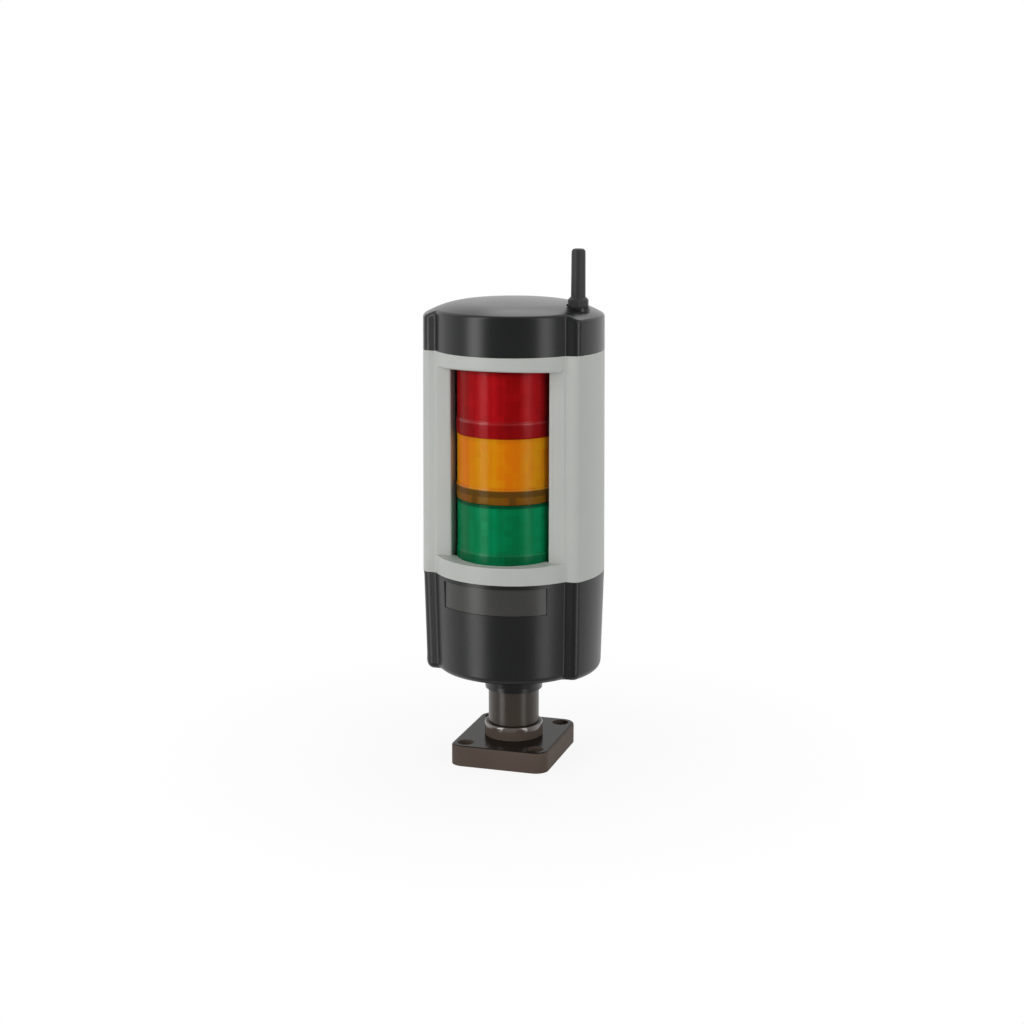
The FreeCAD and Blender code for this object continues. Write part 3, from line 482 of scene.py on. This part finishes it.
def ring_shade(tree, turn, height):
    """Painted shade for the dark coupling ring behind the lens's foot:
    a level disc on legs, and painted shade between them.
    """
    disc = near(tree, height, RING_DISC_MIDDLE, RING_DISC_HALF)
    legs = add_math(tree, "MULTIPLY_ADD", turn, RING_LEGS / FULL_TURN, 0.5)
    from_leg = add_math(tree, "PINGPONG", legs, 0.5)
    leg = add_ramp(tree, from_leg, RING_LEG_HALF + RING_LEG_BLUR, RING_LEG_HALF - RING_LEG_BLUR)
    skirt = add_math(tree, "MULTIPLY_ADD", leg, 1.0 - RING_BETWEEN_LEGS, RING_BETWEEN_LEGS)
    below = under(tree, height, RING_DISC_MIDDLE)
    return add_math(tree, "MAXIMUM", disc, add_math(tree, "MULTIPLY", skirt, below))


print("ring legs:", RING_LEGS)

# %% Group: flutes, painted light bands and painted shade
LENS_RIM_MIDDLE = 8.9 * MM
LENS_RIM_HALF = 0.9 * MM
# painted shade on the lens's sides, which look into the housing: none at SIDE_LIT, full at SIDE_DARK
SIDE_LIT = math.radians(40)
SIDE_DARK = math.radians(75)
# painted shade along the lens's top edge, under the hood or the next module
TOP_SHADE_BAND = 2.3 * MM


def build_flute_group():
    """Masks for one lens, which each material places by the lens's lowest and highest level."""
    group, given, result = start_group(
        "lens_flutes", [("Foot height", 125 * MM), ("Top height", 160 * MM)],
        ["Ridge", "Stripe", "Ring", "Rim", "Side", "Top"])
    axes = object_axes(group)
    turn = lens_turn(group, axes)
    count = add_math(group, "MULTIPLY", turn, FLUTES / FULL_TURN)
    height = add_math(group, "SUBTRACT", axes["Z"], given["Foot height"])
    depth = add_math(group, "SUBTRACT", given["Top height"], axes["Z"])
    aside = add_math(group, "ABSOLUTE", turn)
    # Stripe carries the painted light bands; Ring, Side and Top are painted shade
    masks = {
        "Ridge": add_math(group, "PINGPONG", count, 0.5),
        "Stripe": stripe_tone(group, turn, count, axes["Z"]),
        "Ring": ring_shade(group, turn, height),
        "Rim": near(group, height, LENS_RIM_MIDDLE, LENS_RIM_HALF),
        "Side": add_ramp(group, aside, SIDE_LIT, SIDE_DARK),
        "Top": under(group, depth, TOP_SHADE_BAND),
    }
    for label, mask in masks.items():
        group.links.new(mask, result[label])
    return group


FLUTED = build_flute_group()
print("group:", FLUTED.name)

# %% A function for lens plastic
LENS_GRAIN = 700.0
LENS_SMOOTHEST = 0.16
LENS_SPECKLE = 0.08
LENS_RIDGE_BUMP = 0.15
LENS_RIDGE_DEPTH = 0.3 * MM
LENS_SETTINGS = {
    "IOR": 1.3,
    "Transmission Weight": 0.3,
    "Specular IOR Level": 0.05,
    "Coat Roughness": 0.2,
}


def lens_finish(name, node, tones, ring, rim, side, top):
    """tones: dark colour for painted shade, deep and bright colour; ring, rim, side and top: how strongly
    each mask shows.
    """
    dark, deep, bright = (colour_of(*tone) for tone in tones)
    material, tree, shader = new_material(name)
    flutes = place_group(tree, FLUTED, Foot_height=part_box(node)[0].z, Top_height=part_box(node)[1].z)
    striped = mix_colours(tree, flutes["Stripe"], deep, bright)
    ringed = mix_colours(tree, add_math(tree, "MULTIPLY", flutes["Ring"], ring), striped, dark)
    # painted shade: the sides, which look into the housing, and the top edge are darkened
    aside = add_math(tree, "MULTIPLY", flutes["Side"], side)
    shaded = add_math(tree, "MAXIMUM", aside, add_math(tree, "MULTIPLY", flutes["Top"], top))
    tree.links.new(mix_colours(tree, shaded, ringed, dark), shader.inputs["Base Color"])
    tree.links.new(add_math(tree, "MULTIPLY", flutes["Rim"], rim), shader.inputs["Coat Weight"])
    grains = place_group(tree, GRAIN, Grain_per_metre=LENS_GRAIN)
    rough = add_math(tree, "MULTIPLY_ADD", grains["Speckle"], LENS_SPECKLE, LENS_SMOOTHEST)
    tree.links.new(rough, shader.inputs["Roughness"])
    for label, setting in LENS_SETTINGS.items():
        shader.inputs[label].default_value = setting
    add_bump(tree, shader, flutes["Ridge"], LENS_RIDGE_BUMP, LENS_RIDGE_DEPTH)
    return material


print("light that passes through a lens:", LENS_SETTINGS["Transmission Weight"])

# %% Three lens colours
# ring, side and top set how dark each lens's painted shade is
FINISH["red_lens"] = lens_finish(
    "red_lens_plastic", "lens_red", ((76, 3, 5), (174, 8, 12), (230, 25, 36)),
    ring=0.3, rim=0.7, side=0.85, top=0.3)
FINISH["amber_lens"] = lens_finish(
    "amber_lens_plastic", "lens_amber", ((86, 66, 24), (250, 140, 6), (255, 184, 16)),
    ring=0.9, rim=0.3, side=0.35, top=0.1)
FINISH["green_lens"] = lens_finish(
    "green_lens_plastic", "lens_green", ((4, 60, 36), (0, 134, 78), (0, 174, 110)),
    ring=0.4, rim=0.3, side=0.25, top=0.75)
print("finishes:", len(FINISH))

# %% [markdown]
# ## Give every node its finish
# The imported record already says which material slot each node uses, and the frame's materials carry those
# names. Finishes could be set node by node, but a node is then soon forgotten, so the finish follows from
# the slot's name. Two pieces differ from the rest of their slot and get a finish of their own: the lid over
# the lenses is dull and a darker black, as painted shade of the hood, and the base is a little duller than
# the cap.

# %% Finishes of two single pieces
OWN_FINISH = {}
# painted shade: a darker black than the slot's own, for the hood's shadow on the lid
OWN_FINISH["stack_cover"] = solid_finish(
    "shaded_cover_plastic", ((9, 9, 10), (13, 13, 13), (22, 22, 22)),
    gloss=(0.6, 0.75), grain=1500.0, specular=0.1)
OWN_FINISH["base_housing"] = solid_finish(
    "base_housing_plastic", ((18, 19, 19), (22, 23, 23), (32, 32, 32)),
    gloss=(0.32, 0.4), grain=2100.0, bump=0.2, edge=FINE_EDGE)
print("own finishes:", sorted(OWN_FINISH))

# %% Put the finishes on
for name, node in NODES.items():
    slot = node.data.materials[0].name.split(".")[0]
    node.data.materials[0] = OWN_FINISH.get(name, FINISH[slot])
print("dressed:", len(NODES), "nodes")

# %% [markdown]
# ## Thin pieces skinned from sections
# The label and the lips round the window are thin moulded or cut pieces whose section hardly changes along
# their length. They could be boxes with bevels, but a row of sections gives the drum's curve and the
# rounded edges directly. One function joins such a row into a closed mesh.

# %% A function that skins a row of sections
SMOOTH_UNDER = math.radians(35)


def skin(name, sections, finish):
    """A closed piece through a row of equal sections, which rides on the head."""
    mesh = bmesh.new()
    rings = [[mesh.verts.new(point) for point in section] for section in sections]
    for here, there in zip(rings, rings[1:]):
        for k in range(len(here)):
            mesh.faces.new((here[k - 1], here[k], there[k], there[k - 1]))
    mesh.faces.new(rings[0])
    mesh.faces.new(reversed(rings[-1]))
    bmesh.ops.recalc_face_normals(mesh, faces=mesh.faces)
    data = bpy.data.meshes.new(name)
    mesh.to_mesh(data)
    mesh.free()
    data.shade_smooth()
    data.set_sharp_from_angle(angle=SMOOTH_UNDER)
    data.materials.append(finish)
    piece = bpy.data.objects.new(name, data)
    bpy.context.scene.collection.objects.link(piece)
    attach(piece, "head")
    print(name, "faces:", len(data.polygons))


print("skinned pieces stay smooth under", round(math.degrees(SMOOTH_UNDER)), "degrees")

# %% Points for the sections
ROUND_STEPS = 6
ROUND_ANGLES = [math.pi / 2 * k / ROUND_STEPS for k in range(ROUND_STEPS + 1)]


def quarter_round(start, across, along):
    """Points of a quarter ellipse that leaves start along the first axis and ends along the second."""
    return [(start[0] + across * math.sin(a), start[1] + along * (1 - math.cos(a))) for a in ROUND_ANGLES]


def around_axis(radius, turn, level):
    """A point, by its distance from the pole's axis, its turn from the front and its height."""
    return Vector((radius * math.sin(turn), -radius * math.cos(turn), level))


def even_turns(half_turn, columns):
    """Turns in equal steps from one side of the front to the other."""
    return [half_turn * (2 * k / columns - 1) for k in range(columns + 1)]


print("a round edge has", len(ROUND_ANGLES), "points")

# %% [markdown]
# ## The blank label
# The base has a shallow recess for a label. The label is a thin film with rounded corners that follows the
# drum's curve. A flat sheet could be bent with a modifier, but sections that stand round the drum follow it
# exactly. Each is a slim rectangle, and the last ones at both ends grow shorter to round the corners. The
# film is bare.

# %% Build the label
LABEL_RADIUS = 47.75 * MM
LABEL_FILM = 0.35 * MM
LABEL_HALF_TURN = math.radians(40.7)
LABEL_LOW = 99.0 * MM
LABEL_HIGH = 114.6 * MM
LABEL_CORNER = 1.0 * MM
LABEL_COLUMNS = 48


def label_turns():
    """Where the sections stand: evenly along the film, closer together at its round corners."""
    corner_turn = LABEL_CORNER / LABEL_RADIUS
    straight = LABEL_HALF_TURN - corner_turn
    ends = [straight + corner_turn * math.sin(angle) for angle in ROUND_ANGLES[1:]]
    return [-turn for turn in reversed(ends)] + even_turns(straight, LABEL_COLUMNS) + ends


def label_section(turn):
    """The film's four corners at one turn, cut back where the label's corner is round."""
    past = max(0.0, LABEL_CORNER - (LABEL_HALF_TURN - abs(turn)) * LABEL_RADIUS)
    cut = LABEL_CORNER - math.sqrt(max(0.0, LABEL_CORNER ** 2 - past ** 2))
    low = LABEL_LOW + cut
    high = LABEL_HIGH - cut
    back = LABEL_RADIUS - LABEL_FILM
    corners = ((back, low), (back, high), (LABEL_RADIUS, high), (LABEL_RADIUS, low))
    return [around_axis(radius, turn, level) for radius, level in corners]


LABEL_FINISH = solid_finish(
    "label_film", ((62, 62, 60), (68, 67, 65), (86, 85, 83)),
    gloss=(0.3, 0.4), grain=2600.0, bump=0.12)
skin("label_blank", [label_section(turn) for turn in label_turns()], LABEL_FINISH)

# %% [markdown]
# ## Lips round the window
# The moulded housing turns inward at both sides of the window and ends in a level lip under the hood.
# Bevels on one big mesh could do it, but each lip is simply one small section drawn along its edge. So the
# sections are worked out here and skinned as before. The lips are seated on the jambs and under the hood.

# %% Jamb lips
LENS_GAP = 0.7 * MM
PANEL_FRONT = -27.9 * MM
PANEL_WALL = 2.5 * MM
WINDOW_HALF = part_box("lens_red")[1].x + LENS_GAP
WINDOW_LOW = 128.3 * MM
LIP_LEVEL = 242.1 * MM
JAMB_LIP = 1.3 * MM
JAMB_RETURN = 8.4 * MM
JAMB_OVERLAP = 0.9 * MM
JAMB_PROUD = 0.15 * MM
JAMB_SUNK = 0.4 * MM
JAMB_ROUND = 0.8 * MM


def jamb_section():
    """Points (into the window, behind the panel's face)."""
    front = [(-JAMB_OVERLAP, JAMB_SUNK), (-JAMB_OVERLAP, -JAMB_PROUD)]
    edge = quarter_round((JAMB_LIP - JAMB_ROUND, -JAMB_PROUD), JAMB_ROUND, JAMB_ROUND)
    back = [(JAMB_LIP, JAMB_RETURN), (0.0, JAMB_RETURN), (0.0, PANEL_WALL)]
    return front + edge + back


def jamb_at(side, level):
    """The section at one height, on the left (-1) or the right (1) of the window."""
    return [Vector((side * (WINDOW_HALF - inward), PANEL_FRONT + behind, level))
            for inward, behind in jamb_section()]


for side, name in ((-1, "jamb_lip_left"), (1, "jamb_lip_right")):
    ends = [jamb_at(side, level) for level in (WINDOW_LOW, LIP_LEVEL)]
    skin(name, ends, FINISH["grey_plastic"])

# %% Hood lip
HOOD_FACE = 47.6 * MM
HOOD_LEVEL = 242.6 * MM
HOOD_RISE = 2.8 * MM
HOOD_REACH = 20.7 * MM
HOOD_SUNK = 0.3 * MM
HOOD_HALF_TURN = math.radians(53)
HOOD_COLUMNS = 48
HOOD_LIP_FALL = 0.07
HOOD_LIP_WALL = 3.2 * MM
HOOD_LIP_ROUND = 2.0 * MM
HOOD_ROUND_SHARE = 0.8


def hood_under(radius, turn):
    """Height of the hood's sloping underside, a little sunk into it."""
    ahead = radius * math.cos(turn) + PANEL_FRONT
    return HOOD_LEVEL + HOOD_RISE / HOOD_REACH * ahead + HOOD_SUNK


def hood_section(turn):
    """The lip at one turn: level below, rounded at its front edge, and let into the hood above."""
    inner = HOOD_FACE - HOOD_LIP_WALL
    low = LIP_LEVEL - HOOD_LIP_FALL * HOOD_FACE * (1 - math.cos(turn))
    top = hood_under(HOOD_FACE, turn)
    drop = min(HOOD_LIP_ROUND, HOOD_ROUND_SHARE * (top - low))
    points = [(inner, hood_under(inner, turn)), (inner, low)]
    points += quarter_round((HOOD_FACE - HOOD_LIP_ROUND, low), HOOD_LIP_ROUND, drop)
    points.append((HOOD_FACE, top))
    return [around_axis(radius, turn, level) for radius, level in points]


hood_sections = [hood_section(turn) for turn in even_turns(HOOD_HALF_TURN, HOOD_COLUMNS)]
skin("hood_lip", hood_sections, FINISH["grey_plastic"])

# %% [markdown]
# ## Floor and backdrop
# The object stands on a plain pale floor. The world could be one even white, but then every reflection is
# white too. So it is white to the camera and gives a softer light to everything else. Reflections see it
# white behind the object and dimmer in front, as in a studio, where the room behind the camera is dark. The
# floor mixes its own shading with white, so the shadow stays and the horizon goes.

# %% World
WHITE = (1.0, 1.0, 1.0, 1.0)
WORLD_LIGHT = 0.3
FRONT_GLOSS = 0.3
FRONT_SIDE = (0.3, -0.95, 0.0)
FRONT_STARTS = -0.5
FRONT_FULL = 0.7


def build_world():
    """A white world, dimmer as a light and dimmer where reflections look to the front."""
    world = bpy.data.worlds.new("studio_white")
    bpy.context.scene.world = world
    world.use_nodes = True
    tree = world.node_tree
    sky = tree.nodes["Background"]
    sky.inputs["Color"].default_value = WHITE
    path = tree.nodes.new("ShaderNodeLightPath")
    seen = add_math(tree, "MAXIMUM", path.outputs["Is Camera Ray"], path.outputs["Is Transmission Ray"])
    level = add_math(tree, "MULTIPLY_ADD", seen, 1.0 - WORLD_LIGHT, WORLD_LIGHT)
    facing = tree.nodes.new("ShaderNodeVectorMath")
    facing.operation = "DOT_PRODUCT"
    tree.links.new(object_place(tree, "Generated"), facing.inputs[0])
    facing.inputs[1].default_value = FRONT_SIDE
    dim = add_range(tree, facing.outputs["Value"], FRONT_STARTS, FRONT_FULL, 1.0, FRONT_GLOSS)
    mirrored = add_math(tree, "MULTIPLY", dim, path.outputs["Is Glossy Ray"])
    tree.links.new(add_math(tree, "MAXIMUM", level, mirrored), sky.inputs["Strength"])


build_world()
print("world light:", WORLD_LIGHT)

# %% Floor paint
FLOOR_TONE = (0.85, 0.85, 0.85, 1.0)
FLOOR_ROUGHNESS = 0.9
SHADOW_NEAR = 40 * MM
SHADOW_FAR = 240 * MM
WHITE_NEAR = 0.9


def floor_finish():
    """Pale paint that the camera sees nearly white round the object and quite white farther off."""
    material, tree, shader = new_material("floor_white")
    shader.inputs["Base Color"].default_value = FLOOR_TONE
    shader.inputs["Roughness"].default_value = FLOOR_ROUGHNESS
    shader.inputs["Specular IOR Level"].default_value = 0.0
    glow = tree.nodes.new("ShaderNodeEmission")
    glow.inputs["Color"].default_value = WHITE
    away = tree.nodes.new("ShaderNodeVectorMath")
    away.operation = "LENGTH"
    tree.links.new(object_place(tree), away.inputs[0])
    fade = add_range(tree, away.outputs["Value"], SHADOW_NEAR, SHADOW_FAR, WHITE_NEAR, 1.0, smooth=False)
    path = tree.nodes.new("ShaderNodeLightPath")
    blend = tree.nodes.new("ShaderNodeMixShader")
    tree.links.new(add_math(tree, "MULTIPLY", path.outputs["Is Camera Ray"], fade), blend.inputs["Fac"])
    tree.links.new(shader.outputs["BSDF"], blend.inputs[1])
    tree.links.new(glow.outputs["Emission"], blend.inputs[2])
    tree.links.new(blend.outputs["Shader"], tree.nodes["Material Output"].inputs["Surface"])
    return material


print("shadow fades out at", SHADOW_FAR, "m")

# %% Floor
FLOOR_HALF = 8.0
FLOOR_TILES = 8


def build_floor():
    """A level grid under the object, left out of reflections."""
    mesh = bmesh.new()
    bmesh.ops.create_grid(mesh, x_segments=FLOOR_TILES, y_segments=FLOOR_TILES, size=FLOOR_HALF)
    data = bpy.data.meshes.new("studio_floor")
    mesh.to_mesh(data)
    mesh.free()
    data.materials.append(floor_finish())
    floor = bpy.data.objects.new("studio_floor", data)
    bpy.context.scene.collection.objects.link(floor)
    floor.visible_glossy = False


build_floor()
print("floor:", 2 * FLOOR_HALF, "m square")

# %% [markdown]
# ## Studio light
# Two tall soft boxes stand in front, left and right, and draw the upright streaks on the round parts. A
# wide one hangs above and behind, for the cap and the foot. Spot lamps would give small hard streaks. Area
# lamps are used because their size sets how soft the edge of a streak is.


# %% Lamps
def soft_box(name, turn, distance, height, size, power, aim_level):
    """A rectangular lamp at a turn from the front, in degrees, aimed at a height on the object's axis."""
    lamp = bpy.data.lights.new(name, "AREA")
    lamp.shape = "RECTANGLE"
    lamp.size, lamp.size_y = size
    lamp.energy = power
    box = bpy.data.objects.new(name, lamp)
    bpy.context.scene.collection.objects.link(box)
    box.location = around_axis(distance, math.radians(turn), height)
    aim = Vector((0, 0, aim_level))
    box.rotation_euler = (aim - box.location).to_track_quat("-Z", "Y").to_euler()


TALL = (0.22, 1.2)
WIDE = (0.9, 0.9)
soft_box("soft_box_left", turn=-38, distance=0.65, height=0.3, size=TALL, power=2.8, aim_level=0.3)
soft_box("soft_box_right", turn=62, distance=0.7, height=0.3, size=TALL, power=2.0, aim_level=0.3)
soft_box("soft_box_above", turn=180, distance=0.75, height=1.3, size=WIDE, power=3.4, aim_level=0.2)
print("lamps:", sorted(light.name for light in bpy.data.lights))

# %% [markdown]
# ## Camera
# The view is a little to the right of the window and a little above it. A wide lens close by would make the
# uprights lean, so the camera stands far enough off that they stay nearly parallel, with a short telephoto.

# %% Camera
VIEW_TURN = math.radians(17.3)
VIEW_RISE = math.radians(11.7)
VIEW_FAR = 1.2
ORBIT = Vector((0, 0, 0.160))
AIM_DROP = 0.0089
AIM_ASIDE = -0.0011
FOCAL = 70.3
SENSOR = 36.0

camera_data = bpy.data.cameras.new("view_camera")
camera_data.sensor_width = SENSOR
camera_data.lens = FOCAL
camera = bpy.data.objects.new("view_camera", camera_data)
bpy.context.scene.collection.objects.link(camera)
toward = around_axis(math.cos(VIEW_RISE), VIEW_TURN, math.sin(VIEW_RISE))
right = Vector((math.cos(VIEW_TURN), math.sin(VIEW_TURN), 0))
camera.location = ORBIT + toward * VIEW_FAR
aim = ORBIT - Vector((0, 0, AIM_DROP)) + right * AIM_ASIDE
camera.rotation_euler = (aim - camera.location).to_track_quat("-Z", "Y").to_euler()
bpy.context.scene.camera = camera
bpy.context.scene.view_settings.view_transform = "Standard"
print("camera at", [round(v, 3) for v in camera.location])
